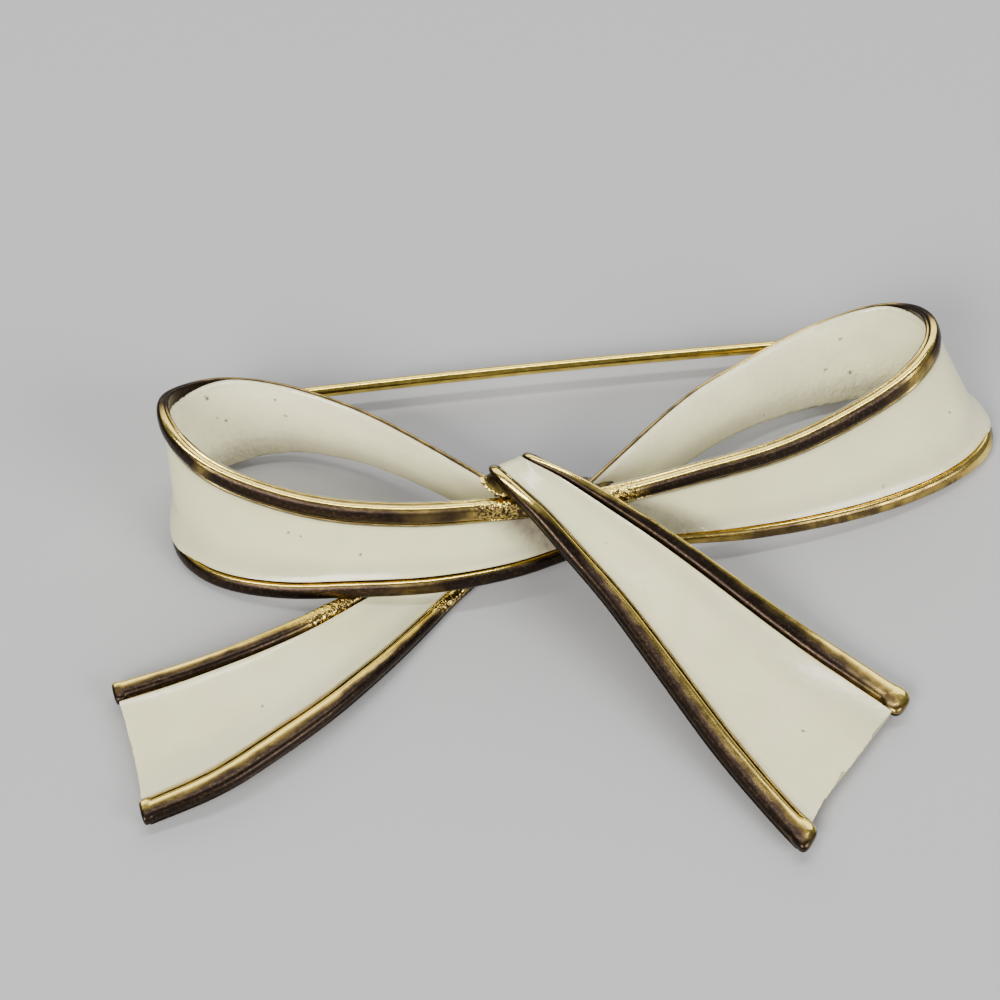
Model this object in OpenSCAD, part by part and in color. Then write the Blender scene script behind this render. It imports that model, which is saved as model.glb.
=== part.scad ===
// Bow brooch: two enamelled ribbon loops, a knot and two flared tails, lying on its back,
// with a hinged pin stem behind the loops.

/* [Loops] */
// Reach of the left loop from the middle of the knot to its outer turn
left_loop_l = 28; // [25:0.5:32]
// Reach of the right loop from the middle of the knot to its upper outer turn
right_loop_l = 31; // [27:0.5:35]
// Depth of the loops from the knot to their back walls
loop_d = 15; // [13:0.5:18]
// Height of the loops' upper rims at the outer turns
loop_h = 9.9; // [8.6:0.1:12]

/* [Tails] */
// Sideways reach of the left tail from the knot
left_tail_l = 33; // [29:0.5:37]
// Fall of the left tail below the knot
left_tail_drop = 18.7; // [16:0.1:22]
// Sideways reach of the right tail from the knot
right_tail_l = 21; // [18:0.5:24]
// Fall of the right tail below the knot
right_tail_drop = 27.2; // [24:0.1:31]
// Height of the left tail's arch above its tips
left_tail_h = 1.8; // [1.6:0.1:2]
// Height of the knot ribbon where it folds over the loops
knot_h = 9.5; // [9.3:0.1:11]

/* [Ribbon section] */
// Width of the raised gold rim along each edge
rim_w = 1.6; // [1.3:0.1:1.8]
// Height of the rims above the metal under the enamel
rim_h = 0.7; // [0.6:0.05:0.8]
// Thickness of the metal under the enamel
plate_t = 0.35; // [0.3:0.05:0.45]
// Height of the enamel's lip where it climbs the rims
lip_h = 0.42; // [0.34:0.02:0.48]
// Depth of the outer enamel at the middle of the ribbon
enamel_t = 0.2; // [0.15:0.01:0.25]
// Thickness of the enamel inside the loops
lining_t = 0.2; // [0.15:0.01:0.25]
// Bare gold left showing along each edge of the lining
lining_edge = 0.25; // [0.2:0.05:0.4]
// Gap between pieces that sit on each other
piece_gap = 0.03; // [0.02:0.01:0.04]

/* [Pin] */
// Diameter of the pin's wire
wire_d = 0.92; // [0.8:0.02:1.1]
// Height of the pin's centre line above the table
pin_z = 2; // [1.9:0.1:2.4]
// Distance from the soldered seats to the pin's centre line
pin_standoff = 3.3; // [3:0.1:4]
// How far the wire bows outwards at its middle
stem_bow = 0.4; // [0.2:0.05:0.6]
// Length of wire past the catch, point included
tip_l = 3.2; // [2.6:0.1:4]
// Length of the sharpened point
point_l = 2.2; // [1.6:0.1:2.4]
// Diameter of the hinge rivet
rivet_d = 0.76; // [0.6:0.02:0.84]
// Radial running clearance of the pin's eye on the rivet
eye_fit = 0.04; // [0.03:0.01:0.06]
// Play between the pin's eye and each ear
ear_play = 0.08; // [0.05:0.01:0.12]
// Thickness of sheet in the hinge bracket and the catch
sheet_t = 0.5; // [0.4:0.05:0.6]
// Radius of the hinge bracket's ears
ear_r = 0.95; // [0.85:0.05:1.05]
// Clearance between the wire and the catch
catch_fit = 0.16; // [0.1:0.02:0.24]
// Width of the catch along the pin
catch_w = 2.2; // [1.8:0.1:2.6]
// Width of the soldered seats and of the plates on them
seat_w = 3.4; // [3:0.1:3.8]
// Height of the soldered seats and of the plates on them
seat_h = 2.6; // [2.4:0.1:3]
// Least height of solder between a back wall and a plate
seat_t = 0.45; // [0.3:0.05:0.7]

/* [Hidden] */

gold = "goldenrod";
cream = "ivory";

// Rows of the left loop from the knot along the front wall, round the turn and back along the rear wall.
// Columns: upper rim x, y, z and width, then the same of the lower rim, as shares of left_loop_l, loop_d,
// loop_h and rim_w
LEFT_LOOP = [
    [ 0.000,  0.02, 0.70, 1.10,  0.036, -0.03, 0.26, 1.00],
    [-0.150, -0.01, 0.77, 1.10, -0.125, -0.11, 0.25, 1.00],
    [-0.357,  0.01, 0.76, 1.10, -0.340, -0.14, 0.23, 1.00],
    [-0.564,  0.08, 0.77, 1.10, -0.554, -0.09, 0.19, 1.00],
    [-0.732,  0.18, 0.83, 1.10, -0.732, -0.02, 0.13, 1.00],
    [-0.886,  0.33, 0.92, 1.10, -0.890,  0.11, 0.09, 1.00],
    [-0.975,  0.54, 0.99, 1.00, -0.980,  0.31, 0.076, 1.00],
    [-0.993,  0.75, 1.00, 0.80, -0.986,  0.55, 0.076, 0.95],
    [-0.936,  0.89, 0.92, 0.55, -0.936,  0.77, 0.08, 0.80],
    [-0.821,  1.00, 0.79, 0.40, -0.821,  0.89, 0.09, 0.60],
    [-0.664,  0.99, 0.66, 0.35, -0.660,  0.91, 0.11, 0.50],
    [-0.475,  0.81, 0.60, 0.35, -0.475,  0.76, 0.16, 0.50],
    [-0.300,  0.52, 0.60, 0.35, -0.307,  0.51, 0.21, 0.50],
    [-0.060,  0.06, 0.62, 0.35, -0.060,  0.08, 0.26, 0.50]];

// Rows of the right loop, with the same columns, as shares of right_loop_l, loop_d, loop_h and rim_w
RIGHT_LOOP = [
    [0.030, 0.02, 0.70, 1.10, 0.110, -0.04, 0.25, 1.00],
    [0.161, 0.01, 0.77, 1.10, 0.274,  0.00, 0.22, 1.00],
    [0.355, 0.09, 0.76, 1.10, 0.452,  0.01, 0.17, 1.00],
    [0.555, 0.17, 0.78, 1.10, 0.661,  0.06, 0.13, 1.00],
    [0.726, 0.29, 0.84, 1.10, 0.855,  0.15, 0.10, 1.00],
    [0.881, 0.43, 0.95, 1.10, 1.019,  0.29, 0.08, 1.00],
    [0.968, 0.61, 1.00, 1.00, 1.116,  0.45, 0.076, 1.00],
    [0.987, 0.80, 0.99, 0.80, 1.129,  0.64, 0.076, 0.95],
    [0.948, 0.97, 0.89, 0.55, 1.065,  0.81, 0.08, 0.80],
    [0.852, 1.05, 0.78, 0.40, 0.919,  0.89, 0.09, 0.60],
    [0.694, 1.01, 0.66, 0.35, 0.726,  0.85, 0.11, 0.50],
    [0.526, 0.85, 0.62, 0.35, 0.542,  0.73, 0.15, 0.50],
    [0.355, 0.63, 0.63, 0.35, 0.371,  0.52, 0.20, 0.50],
    [0.050, 0.07, 0.64, 0.35, 0.070,  0.06, 0.26, 0.50]];

// Rows of the knot and right tail, from behind the knot, over it and down to the tip.
// Columns: left rim x, y, z and width, then the same of the right rim, as shares of right_tail_l,
// right_tail_drop, knot_h and rim_w
KNOT_TAIL = [
    [-0.095,  0.154, 0.42, 0.50, 0.057,  0.169, 0.42, 0.45],
    [-0.171,  0.125, 0.78, 0.50, -0.029, 0.150, 0.78, 0.45],
    [-0.205,  0.075, 0.99, 0.55, -0.090, 0.106, 1.00, 0.50],
    [-0.143,  0.000, 0.97, 0.75,  0.029, 0.044, 0.96, 0.70],
    [-0.068, -0.067, 0.88, 0.92,  0.154, -0.013, 0.83, 1.00],
    [ 0.040, -0.165, 0.69, 1.00,  0.316, -0.097, 0.67, 1.06],
    [ 0.157, -0.301, 0.55, 1.05,  0.476, -0.195, 0.51, 1.12],
    [ 0.295, -0.500, 0.38, 1.20,  0.648, -0.305, 0.33, 1.22],
    [ 0.433, -0.710, 0.23, 1.35,  0.812, -0.412, 0.18, 1.38],
    [ 0.568, -0.895, 0.13, 1.40,  0.937, -0.503, 0.12, 1.45],
    [ 0.640, -0.990, 0.11, 1.40,  1.063, -0.608, 0.10, 1.45]];

// Rows of the left tail from under the knot to its tip.
// Columns: upper rim x, y, z and width, then the same of the lower rim, as shares of left_tail_l,
// left_tail_drop, left_tail_h and rim_w
LEFT_TAIL = [
    [-0.097,  0.171, 0.75, 0.70, -0.018,  0.086, 0.75, 0.65],
    [-0.258,  0.096, 0.50, 0.75, -0.133,  0.016, 0.50, 0.65],
    [-0.382, -0.021, 0.37, 0.80, -0.248, -0.139, 0.39, 0.70],
    [-0.473, -0.108, 0.43, 0.90, -0.333, -0.289, 0.48, 0.80],
    [-0.576, -0.223, 0.76, 1.05, -0.430, -0.463, 0.78, 0.95],
    [-0.685, -0.317, 1.00, 1.05, -0.552, -0.648, 1.00, 1.15],
    [-0.794, -0.379, 0.97, 1.05, -0.679, -0.797, 1.00, 1.30],
    [-0.897, -0.417, 0.78, 1.12, -0.806, -0.920, 0.83, 1.30],
    [-1.000, -0.440, 0.50, 1.15, -0.957, -1.000, 0.53, 1.20]];

// Spline steps between two rows of a table
STEPS = 4;
// Rows of the loops where the hinge and the catch are soldered on
HINGE_ROW = 8.85;
CATCH_ROW = 9.6;
// Rows between which each coat of enamel runs: outside the loops, inside them, on the tails
LEFT_FACE = [0.5, 8];
RIGHT_FACE = [1, 8.5];
LINING = [1.5, 12.5];
TAIL_FACE = [2.25, 8];
KNOT_FACE = [1.5, 10];

rim_r = rim_w / 2;
wire_r = wire_d / 2;
rivet_r = rivet_d / 2;

function unit(v) = v / norm(v);
function sized(table, size) =
    [for (r = table) [for (i = [0:7]) r[i] * size[i % 4]]];

left_rows = sized(LEFT_LOOP, [left_loop_l, loop_d, loop_h, rim_r]);
right_rows = sized(RIGHT_LOOP, [right_loop_l, loop_d, loop_h, rim_r]);
knot_rows = sized(KNOT_TAIL, [right_tail_l, right_tail_drop, knot_h, rim_r]);
tail_rows = sized(LEFT_TAIL, [left_tail_l, left_tail_drop, left_tail_h, rim_r]);

// Row i of a table, carried on in a straight line past both ends
function row(rows, i) =
    i < 0 ? 2 * rows[0] - rows[1]
    : i >= len(rows) ? 2 * rows[len(rows) - 1] - rows[len(rows) - 2]
    : rows[i];

// Smooth curve through the rows of a table, both rims at once
function spline(rows, s) =
    let (i = min(floor(s), len(rows) - 2), t = s - i,
         a = row(rows, i - 1), b = row(rows, i), c = row(rows, i + 1), d = row(rows, i + 2))
    (2 * b + (c - a) * t + (2 * a - 5 * b + 4 * c - d) * t * t
     + (3 * b - a - 3 * c + d) * t * t * t) / 2;
function first_rim(p) = [p[0], p[1], p[2]];
function second_rim(p) = [p[4], p[5], p[6]];
function middle(rows, s) =
    let (p = spline(rows, s)) (first_rim(p) + second_rim(p)) / 2;

// One station of a ribbon: first rim, direction across, outward direction,
// and its widths: distance between the rims, half width of the first rim and of the second
function station(rows, s, side) =
    let (p = spline(rows, s), a = first_rim(p), b = second_rim(p),
         along = middle(rows, s + 0.02) - middle(rows, s - 0.02), across = unit(b - a))
    [a, across, side * unit(cross(along, across)), [norm(b - a), p[3], p[7]]];
function stations(rows, side, from, to) =
    [for (k = [round(from * STEPS):round(to * STEPS)]) station(rows, k / STEPS, side)];
function placed(st, q) = st[0] + st[1] * q[0] + st[2] * q[1];

// Half width of a rim's foot, where the enamel starts, as a share of the rim's half width
foot_share = 0.95;

// Metal section: a thin plate with a flattened round rim along each edge, lower where a rim is narrow.
// Points are distance across from the rim's middle and height above the plate's outer face
function lowered(h, r) = h * min(r / rim_r, 1);
function half_section(r) =
    let (h = lowered(rim_h, r))
    [[-r * 0.78, -plate_t], [-r, -plate_t * 0.45], [-r, h * 0.1],
     for (a = [150, 120, 90, 62]) [r * cos(a), h * (0.1 + 0.9 * sin(a))],
     [r * foot_share, h * 0.6], [r * foot_share, 0]];
function mirrored(points, w) =
    [for (i = [len(points) - 1:-1:0]) [w - points[i][0], points[i][1]]];
function metal_section(w) = concat(half_section(w[1]), mirrored(half_section(w[2]), w[0]));

// Outer enamel: fills the ribbon between the rims, dished, with a lip climbing each rim
function face_edge(r) = r * foot_share + piece_gap;
function face_under(w) = [[face_edge(w[1]), piece_gap], [w[0] - face_edge(w[2]), piece_gap]];
function face_over(w) =
    let (from = face_edge(w[1]), to = w[0] - face_edge(w[2]), side = (to - from) * 0.12,
         low = piece_gap + enamel_t, first = lowered(lip_h, w[1]), second = lowered(lip_h, w[2]))
    [[from, first], [from + side, (first + 2 * low) / 3], [(from + to) / 2, low],
     [to - side, (second + 2 * low) / 3], [to, second]];

// Lining: a thin flat coat on the inner side, nearly out to the edges
function lining_from(r) = lining_edge * min(r / rim_r, 1) - r;
function lining_under(w) =
    let (n = -plate_t - piece_gap - lining_t, chamfer = lining_t / 2)
    [[lining_from(w[1]) + chamfer, n], [w[0] - lining_from(w[2]) - chamfer, n]];
function lining_over(w) =
    let (n = -plate_t - piece_gap) [[lining_from(w[1]), n], [w[0] - lining_from(w[2]), n]];

// Faces between rings of n points, and a flat cap over the first and the last ring
function wall_faces(n, rings) =
    [for (k = [0:rings - 2]) for (i = [0:n - 1])
        let (a = k * n + i, b = k * n + (i + 1) % n)
        each [[a, b, b + n], [a, b + n, a + n]]];
function flat_caps(n, rings) =
    [[for (i = [n - 1:-1:0]) i], [for (i = [0:n - 1]) (rings - 1) * n + i]];
// Cap over a coat's section of n points: its two lower corners, then its upper side from right to left
function coat_cap(n, base) =
    let (peak = 2 + floor((n - 3) / 2),
         right_half = [for (k = [2:1:peak - 1]) [1, k, k + 1]],
         left_half = [for (k = [peak:n - 2]) [0, k, k + 1]])
    [for (f = concat([[0, 1, peak]], right_half, left_half)) [for (i = f) base + i]];
function backwards(list) = [for (i = [len(list) - 1:-1:0]) list[i]];
function flipped(faces) = [for (f = faces) backwards(f)];
function face_section(w) = concat(face_under(w), backwards(face_over(w)));
function lining_section(w) = concat(lining_under(w), backwards(lining_over(w)));

function metal_points(rows, side) =
    [for (st = stations(rows, side, 0, len(rows) - 1)) for (q = metal_section(st[3])) placed(st, q)];

// Ribbon of metal swept through its stations, with flat ends
module metal_ribbon(rows, side) {
    n = len(metal_section([1, 1, 1]));
    pts = metal_points(rows, side);
    rings = len(pts) / n;
    faces = concat(wall_faces(n, rings), flat_caps(n, rings));
    polyhedron(pts, side > 0 ? faces : flipped(faces), convexity = 8);
}

// Coat of enamel swept along part of a ribbon, through the section that is handed in
module coat(rows, side, span, section) {
    sts = stations(rows, side, span[0], span[1]);
    n = len(section([1, 1, 1]));
    faces = concat(
        wall_faces(n, len(sts)),
        flipped(coat_cap(n, 0)),
        coat_cap(n, (len(sts) - 1) * n));
    polyhedron(
        [for (st = sts) for (q = section(st[3])) placed(st, q)],
        side > 0 ? flipped(faces) : faces, convexity = 8);
}

// Solder that fills the middle of the knot, where both loops and both tails come together: first the front,
// then the back. Columns: row of the left loop, row of the right loop, top as a share of loop_h
CORE = [[0.4, 0.2, 0.66], [12.75, 12.75, 0.5]];
// Row of the knot ribbon, close to its hidden start, that the solder reaches
CORE_KNOT_ROW = 0.3;
core_r = rim_r * 0.88;
core_low = tail_rows[0][2] + core_r;
module core_column(at, top) {
    for (z = [core_low, top]) translate([at[0], at[1], z]) sphere(r = core_r, $fn = 16);
}
module knot_core() {
    off_front = [0, core_r + plate_t, 0];
    knot_start = middle(knot_rows, CORE_KNOT_ROW);
    hull() {
        for (k = [0, 1]) {
            inwards = k == 0 ? off_front : [0, 0, 0];
            core_column(middle(left_rows, CORE[k][0]) + inwards, loop_h * CORE[k][2]);
            core_column(middle(right_rows, CORE[k][1]) + inwards, loop_h * CORE[k][2]);
        }
        core_column(knot_start, knot_start[2]);
    }
}

// Middle of a rim at a row: rim 0 is the first, rim 1 the second
function rim_at(rows, s, rim) = rim == 0 ? first_rim(spline(rows, s)) : second_rim(spline(rows, s));

// Half width of a rim at a row
function rim_half(rows, s, rim) = spline(rows, s)[rim == 0 ? 3 : 7];

// Blunt rounded end of a rim, standing out past the ribbon's cut end
tip_r = (rim_h + plate_t) / 2;
tip_reach = rim_r * 0.6;
function tip_points(rows, rim) =
    let (end = len(rows) - 1, st = station(rows, end, 1),
         m = rim_at(rows, end, rim) + st[2] * (tip_r - plate_t),
         across = st[1] * (rim_half(rows, end, rim) * foot_share - tip_r),
         along = unit(middle(rows, end) - middle(rows, end - 0.1)))
    [for (e = [-tip_r, tip_reach - tip_r], side = [-1, 1]) m + side * across + along * e];
module rim_tip(rows, rim) {
    hull()
        for (p = tip_points(rows, rim)) translate(p) sphere(r = tip_r, $fn = 16);
}

// Grainy run of solder along a rim, between two rows, as a share of the rim's half width
solder_share = 0.85;
module solder_run(rows, rim, span) {
    hull()
        for (s = span)
            translate(rim_at(rows, s, rim)) sphere(r = solder_share * rim_half(rows, s, rim), $fn = 16);
}

// Patch of a back wall that a seat is soldered to, at a share of the way across and a height off the wall
seat_reach = 0.3;
SEAT_BAND = [0.6, 0.95];
function seat_patch(rows, side, at, across, off) =
    [for (s = [at - seat_reach, at, at + seat_reach]) for (u = across)
        let (st = station(rows, s, side)) placed(st, [st[3][0] * u, off])];
function highest(points, i) = max([for (p = points) p[i]]);
function lowest(points, i) = min([for (p = points) p[i]]);

floor_z = lowest(concat(metal_points(left_rows, 1), metal_points(right_rows, -1)), 2);
hinge_x = middle(left_rows, HINGE_ROW)[0];
catch_x = middle(right_rows, CATCH_ROW)[0];
seat_y = seat_t + max(
    highest(seat_patch(left_rows, 1, HINGE_ROW, SEAT_BAND, 0), 1),
    highest(seat_patch(right_rows, -1, CATCH_ROW, SEAT_BAND, 0), 1));
pin_at = [hinge_x, seat_y + pin_standoff, floor_z + pin_z];

// Soldered seat on the outside of a back wall, ending in a flat face at seat_y
module solder_seat(rows, side, at) {
    hull() {
        for (p = seat_patch(rows, side, at, SEAT_BAND, -plate_t * 0.3))
            translate(p) cube(plate_t * 0.2, center = true);
        translate([middle(rows, at)[0], seat_y - seat_t / 4, pin_at[2]])
            cube([seat_w, seat_t / 2, seat_h], center = true);
    }
}

// The wire bows in an arc from the hinge to the catch and runs on past it to its point
half_span = (catch_x - hinge_x) / 2;
bow_r = (pow(half_span, 2) + pow(stem_bow, 2)) / (2 * stem_bow);
bow_at = [hinge_x + half_span, pin_at[1] + stem_bow - bow_r, pin_at[2]];
function bow_angle(x) = acos((x - bow_at[0]) / bow_r);
eye_r = rivet_r + eye_fit + sheet_t;
eye_h = wire_d * 1.1;
wire_from = bow_angle(hinge_x + (rivet_r + eye_fit + eye_r) / 2);
wire_to = bow_angle(catch_x + catch_w / 2 + tip_l - point_l);

// Middle of the whole brooch in plan, at the table's height
outline = concat(
    metal_points(left_rows, 1),
    metal_points(right_rows, -1),
    metal_points(tail_rows, 1),
    metal_points(knot_rows, 1),
    [for (rows = [tail_rows, knot_rows], rim = [0, 1])
        for (p = tip_points(rows, rim), d = [-tip_r, tip_r]) p + [d, d, 0]]);
rear = pin_at[1] + max(ear_r, stem_bow + wire_r);
origin = [
    (lowest(outline, 0) + highest(outline, 0)) / 2,
    (lowest(outline, 1) + rear) / 2,
    floor_z];

// Rows of the grainy solder runs, beside the knot and along the left tail where it passes under the loop
LEFT_SOLDER = [0.9, 1.25];
RIGHT_SOLDER = [0.65, 1];
UPPER_SOLDER = [3.05, 3.6];
LOWER_SOLDER = [1.8, 2.3];

module bow() color(gold) translate(-origin) {
    metal_ribbon(left_rows, 1);
    metal_ribbon(right_rows, -1);
    metal_ribbon(tail_rows, 1);
    metal_ribbon(knot_rows, 1);
    knot_core();
    for (rows = [knot_rows, tail_rows], rim = [0, 1]) rim_tip(rows, rim);
    solder_run(left_rows, 0, LEFT_SOLDER);
    solder_run(right_rows, 0, RIGHT_SOLDER);
    solder_run(tail_rows, 0, UPPER_SOLDER);
    solder_run(tail_rows, 1, LOWER_SOLDER);
    solder_seat(left_rows, 1, HINGE_ROW);
    solder_seat(right_rows, -1, CATCH_ROW);
}

module enamel(rows, side, span) color(cream) translate(-origin)
    coat(rows, side, span, function (w) face_section(w));
module lining(rows, side) color(cream) translate(-origin)
    coat(rows, side, LINING, function (w) lining_section(w));

module left_loop_enamel() enamel(left_rows, 1, LEFT_FACE);
module left_loop_lining() lining(left_rows, 1);
module right_loop_enamel() enamel(right_rows, -1, RIGHT_FACE);
module right_loop_lining() lining(right_rows, -1);
module left_tail_enamel() enamel(tail_rows, 1, TAIL_FACE);
module knot_tail_enamel() enamel(knot_rows, 1, KNOT_FACE);

// Plate that lies on a soldered seat, seen from the pin's centre line
module seat_plate()
    translate([0, -pin_standoff + piece_gap + sheet_t / 2, 0]) cube([seat_w, sheet_t, seat_h], center = true);

// Ear of the hinge bracket, cut out of sheet, with the rivet's hole
module ear()
    linear_extrude(sheet_t) difference() {
        union() {
            circle(r = ear_r, $fn = 48);
            translate([-ear_r, -pin_standoff + piece_gap + sheet_t / 2])
                square([2 * ear_r, pin_standoff - piece_gap - sheet_t / 2]);
        }
        circle(r = rivet_r + piece_gap, $fn = 48);
    }

ear_gap = eye_h / 2 + ear_play;
module hinge_bracket() color(gold) translate(pin_at - origin) {
    seat_plate();
    translate([0, 0, ear_gap]) ear();
    translate([0, 0, -ear_gap - sheet_t]) ear();
}

// Rivet through both ears, with a flat head outside each
head_t = sheet_t / 2;
head_r = rivet_r + sheet_t / 2;
module hinge_rivet() color(gold) translate(pin_at - origin) {
    reach = ear_gap + sheet_t + piece_gap;
    cylinder(r = rivet_r, h = 2 * reach + head_t, center = true, $fn = 48);
    for (z = [-reach - head_t, reach]) translate([0, 0, z]) cylinder(r = head_r, h = head_t, $fn = 48);
}

// The point's cone starts this far inside the wire's end, so that the two are one solid
point_lap = wire_r * 0.2;
blunt_r = wire_r * 0.15;
module pin_stem() color(gold) translate(-origin)
    difference() {
        union() {
            translate(pin_at) cylinder(r = eye_r, h = eye_h, center = true, $fn = 48);
            translate(bow_at) rotate([0, 0, wire_to])
                rotate_extrude(angle = wire_from - wire_to, $fn = 3600)
                    translate([bow_r, 0]) circle(r = wire_r, $fn = 32);
            translate(bow_at + bow_r * [cos(wire_to), sin(wire_to), 0])
                rotate([0, 90, wire_to - 90]) translate([0, 0, -point_lap])
                    cylinder(r1 = wire_r * 0.97, r2 = blunt_r, h = point_l + point_lap, $fn = 32);
        }
        translate(pin_at) cylinder(r = rivet_r + eye_fit, h = 2 * eye_h, center = true, $fn = 48);
    }

// Open hook bent out of strip: it carries the wire from below and lets it swing straight out
hook_from = 100;
hook_to = 300;
hook_t = sheet_t * 0.9;
module catch() color(gold) translate([catch_x, pin_at[1], pin_at[2]] - origin) {
    seat_plate();
    inner = wire_r + catch_fit;
    outer = inner + hook_t;
    rotate([90, 0, 90]) linear_extrude(catch_w, center = true) {
        difference() {
            circle(r = outer, $fn = 48);
            circle(r = inner, $fn = 48);
            polygon([[0, 0], for (a = [hook_to:20:360 + hook_from]) 3 * outer * [cos(a), sin(a)]]);
        }
        translate([-pin_standoff + piece_gap + sheet_t / 2, -sheet_t / 2])
            square([pin_standoff - piece_gap - sheet_t / 2 - (inner + outer) / 2, sheet_t]);
    }
}

bow();
left_loop_enamel();
left_loop_lining();
right_loop_enamel();
right_loop_lining();
left_tail_enamel();
knot_tail_enamel();
hinge_bracket();
hinge_rivet();
pin_stem();
catch();
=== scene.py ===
"""Looks of the bow brooch: gold-tone ribbons, cream enamel and the pin stem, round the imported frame."""
import math

import bmesh
import bpy
import numpy as np
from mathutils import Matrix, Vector, noise


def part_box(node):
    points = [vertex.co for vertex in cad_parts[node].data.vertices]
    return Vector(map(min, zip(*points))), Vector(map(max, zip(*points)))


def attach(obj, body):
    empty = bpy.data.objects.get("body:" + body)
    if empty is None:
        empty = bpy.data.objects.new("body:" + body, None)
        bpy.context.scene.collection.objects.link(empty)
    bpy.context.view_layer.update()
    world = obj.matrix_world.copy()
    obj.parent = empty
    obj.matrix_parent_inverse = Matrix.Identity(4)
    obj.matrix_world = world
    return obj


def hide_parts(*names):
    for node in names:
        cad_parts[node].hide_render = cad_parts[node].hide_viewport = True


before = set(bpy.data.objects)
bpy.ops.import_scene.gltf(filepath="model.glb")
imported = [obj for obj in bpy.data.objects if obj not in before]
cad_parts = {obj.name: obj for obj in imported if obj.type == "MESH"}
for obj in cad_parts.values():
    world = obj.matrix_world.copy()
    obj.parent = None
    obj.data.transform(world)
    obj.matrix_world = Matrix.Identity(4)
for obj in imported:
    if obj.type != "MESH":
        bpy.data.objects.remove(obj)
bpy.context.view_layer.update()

MM = 0.001
BROOCH = "brooch"
PIN = "pin"

# Driving sizes of the construction, in millimetres
LEFT_LOOP_L = 28.0
RIGHT_LOOP_L = 31.0
LOOP_D = 15.0
LOOP_H = 9.9
LEFT_TAIL_L = 33.0
LEFT_TAIL_DROP = 18.7
LEFT_TAIL_H = 1.8
RIGHT_TAIL_L = 21.0
RIGHT_TAIL_DROP = 27.2
KNOT_H = 9.5
RIM_R = 0.8
RIM_H = 0.7
PLATE_T = 0.35
LIP_H = 0.42
ENAMEL_T = 0.2
LINING_T = 0.2
LINING_EDGE = 0.25
PIECE_GAP = 0.03
FOOT_SHARE = 0.95
PIN_STANDOFF = 3.3
WIRE_R = 0.46
STEM_BOW = 0.4
RIVET_R = 0.38
EYE_FIT = 0.04
SHEET_T = 0.5
TIP_L = 3.2
POINT_L = 2.2
CATCH_W = 2.2
SEAT_W = 3.4
SEAT_H = 2.6
SEAT_T = 0.45

# Rows of each ribbon: first rim x, y, z and width, then the same of the second rim, as shares of its sizes
LEFT_LOOP = [
    [0.000, 0.02, 0.70, 1.10, 0.036, -0.03, 0.26, 1.00],
    [-0.150, -0.01, 0.77, 1.10, -0.125, -0.11, 0.25, 1.00],
    [-0.357, 0.01, 0.76, 1.10, -0.340, -0.14, 0.23, 1.00],
    [-0.564, 0.08, 0.77, 1.10, -0.554, -0.09, 0.19, 1.00],
    [-0.732, 0.18, 0.83, 1.10, -0.732, -0.02, 0.13, 1.00],
    [-0.886, 0.33, 0.92, 1.10, -0.890, 0.11, 0.09, 1.00],
    [-0.975, 0.54, 0.99, 1.00, -0.980, 0.31, 0.076, 1.00],
    [-0.993, 0.75, 1.00, 0.80, -0.986, 0.55, 0.076, 0.95],
    [-0.936, 0.89, 0.92, 0.55, -0.936, 0.77, 0.08, 0.80],
    [-0.821, 1.00, 0.79, 0.40, -0.821, 0.89, 0.09, 0.60],
    [-0.664, 0.99, 0.66, 0.35, -0.660, 0.91, 0.11, 0.50],
    [-0.475, 0.81, 0.60, 0.35, -0.475, 0.76, 0.16, 0.50],
    [-0.300, 0.52, 0.60, 0.35, -0.307, 0.51, 0.21, 0.50],
    [-0.060, 0.06, 0.62, 0.35, -0.060, 0.08, 0.26, 0.50],
]
RIGHT_LOOP = [
    [0.030, 0.02, 0.70, 1.10, 0.110, -0.04, 0.25, 1.00],
    [0.161, 0.01, 0.77, 1.10, 0.274, 0.00, 0.22, 1.00],
    [0.355, 0.09, 0.76, 1.10, 0.452, 0.01, 0.17, 1.00],
    [0.555, 0.17, 0.78, 1.10, 0.661, 0.06, 0.13, 1.00],
    [0.726, 0.29, 0.84, 1.10, 0.855, 0.15, 0.10, 1.00],
    [0.881, 0.43, 0.95, 1.10, 1.019, 0.29, 0.08, 1.00],
    [0.968, 0.61, 1.00, 1.00, 1.116, 0.45, 0.076, 1.00],
    [0.987, 0.80, 0.99, 0.80, 1.129, 0.64, 0.076, 0.95],
    [0.948, 0.97, 0.89, 0.55, 1.065, 0.81, 0.08, 0.80],
    [0.852, 1.05, 0.78, 0.40, 0.919, 0.89, 0.09, 0.60],
    [0.694, 1.01, 0.66, 0.35, 0.726, 0.85, 0.11, 0.50],
    [0.526, 0.85, 0.62, 0.35, 0.542, 0.73, 0.15, 0.50],
    [0.355, 0.63, 0.63, 0.35, 0.371, 0.52, 0.20, 0.50],
    [0.050, 0.07, 0.64, 0.35, 0.070, 0.06, 0.26, 0.50],
]
KNOT_TAIL = [
    [-0.095, 0.154, 0.42, 0.50, 0.057, 0.169, 0.42, 0.45],
    [-0.171, 0.125, 0.78, 0.50, -0.029, 0.150, 0.78, 0.45],
    [-0.205, 0.075, 0.99, 0.55, -0.090, 0.106, 1.00, 0.50],
    [-0.143, 0.000, 0.97, 0.75, 0.029, 0.044, 0.96, 0.70],
    [-0.068, -0.067, 0.88, 0.92, 0.154, -0.013, 0.83, 1.00],
    [0.040, -0.165, 0.69, 1.00, 0.316, -0.097, 0.67, 1.06],
    [0.157, -0.301, 0.55, 1.05, 0.476, -0.195, 0.51, 1.12],
    [0.295, -0.500, 0.38, 1.20, 0.648, -0.305, 0.33, 1.22],
    [0.433, -0.710, 0.23, 1.35, 0.812, -0.412, 0.18, 1.38],
    [0.568, -0.895, 0.13, 1.40, 0.937, -0.503, 0.12, 1.45],
    [0.640, -0.990, 0.11, 1.40, 1.063, -0.608, 0.10, 1.45],
]
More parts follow.
